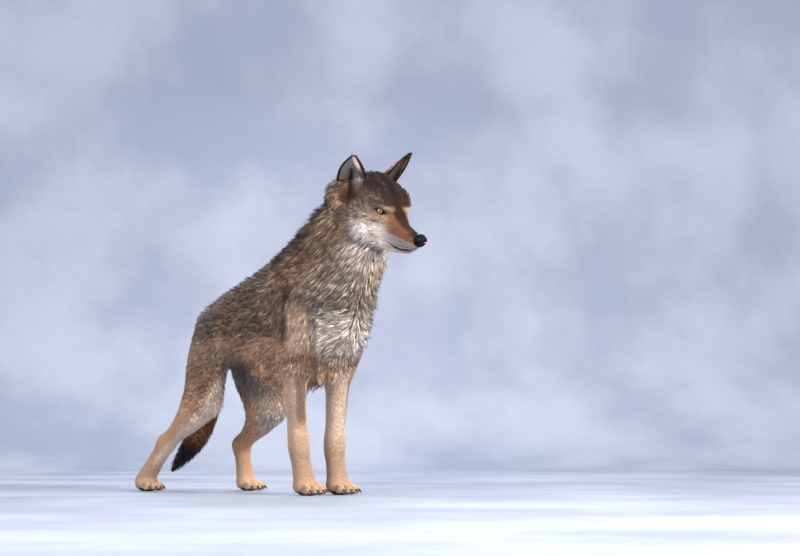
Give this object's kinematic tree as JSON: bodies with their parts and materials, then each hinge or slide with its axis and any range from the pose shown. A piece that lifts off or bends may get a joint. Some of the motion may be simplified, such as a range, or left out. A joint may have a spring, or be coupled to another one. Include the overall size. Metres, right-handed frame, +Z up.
{
  "type": "grey wolf",
  "caption": "Life-size grey wolf standing alert, head turned over the shoulder line, one hind leg stretched back, thick winter coat.",
  "frame": {"origin": "centre of the bounding box on the floor, between the four paws", "axes": "+X is the wolf's forward, +Y its left, +Z up"},
  "size_m": [1.2094, 0.3536, 1.0187],
  "materials": {
    "coat_grey": "long winter fur, dark grey-brown with black tips over ochre",
    "coat_pale": "short flat fur, light orange-tan",
    "coat_dark": "dense fur, dark rufous brown to black",
    "nose_leather": "moist pebbled black nose leather",
    "eye_amber": "wet amber iris with a round black pupil",
    "claw_horn": "dull dark horn"
  },
  "bodies": {
    "root": {"head": "coat_grey", "lower_jaw": "coat_pale", "neck": "coat_grey", "chest": "coat_grey", "loin": "coat_grey", "pelvis": "coat_grey", "tail_base": "coat_grey", "tail_tip": "coat_dark", "ear_right": "coat_dark", "upper_arm_right": "coat_grey", "forearm_right": "coat_pale", "paw_fore_right": "coat_pale", "thigh_right": "coat_grey", "shank_right": "coat_pale", "metatarsus_right": "coat_pale", "paw_hind_right": "coat_pale", "ear_left": "coat_dark", "upper_arm_left": "coat_grey", "forearm_left": "coat_pale", "paw_fore_left": "coat_pale", "thigh_left": "coat_grey", "shank_left": "coat_pale", "metatarsus_left": "coat_pale", "paw_hind_left": "coat_pale", "claw_fore_right_1": "claw_horn", "claw_fore_right_2": "claw_horn", "claw_fore_right_3": "claw_horn", "claw_fore_right_4": "claw_horn", "claw_fore_left_1": "claw_horn", "claw_fore_left_2": "claw_horn", "claw_fore_left_3": "claw_horn", "claw_fore_left_4": "claw_horn", "claw_hind_right_1": "claw_horn", "claw_hind_right_2": "claw_horn", "claw_hind_right_3": "claw_horn", "claw_hind_right_4": "claw_horn", "claw_hind_left_1": "claw_horn", "claw_hind_left_2": "claw_horn", "claw_hind_left_3": "claw_horn", "claw_hind_left_4": "claw_horn", "nose": "nose_leather", "eye_right": "eye_amber", "eye_left": "eye_amber"}
  },
  "joints": []
}
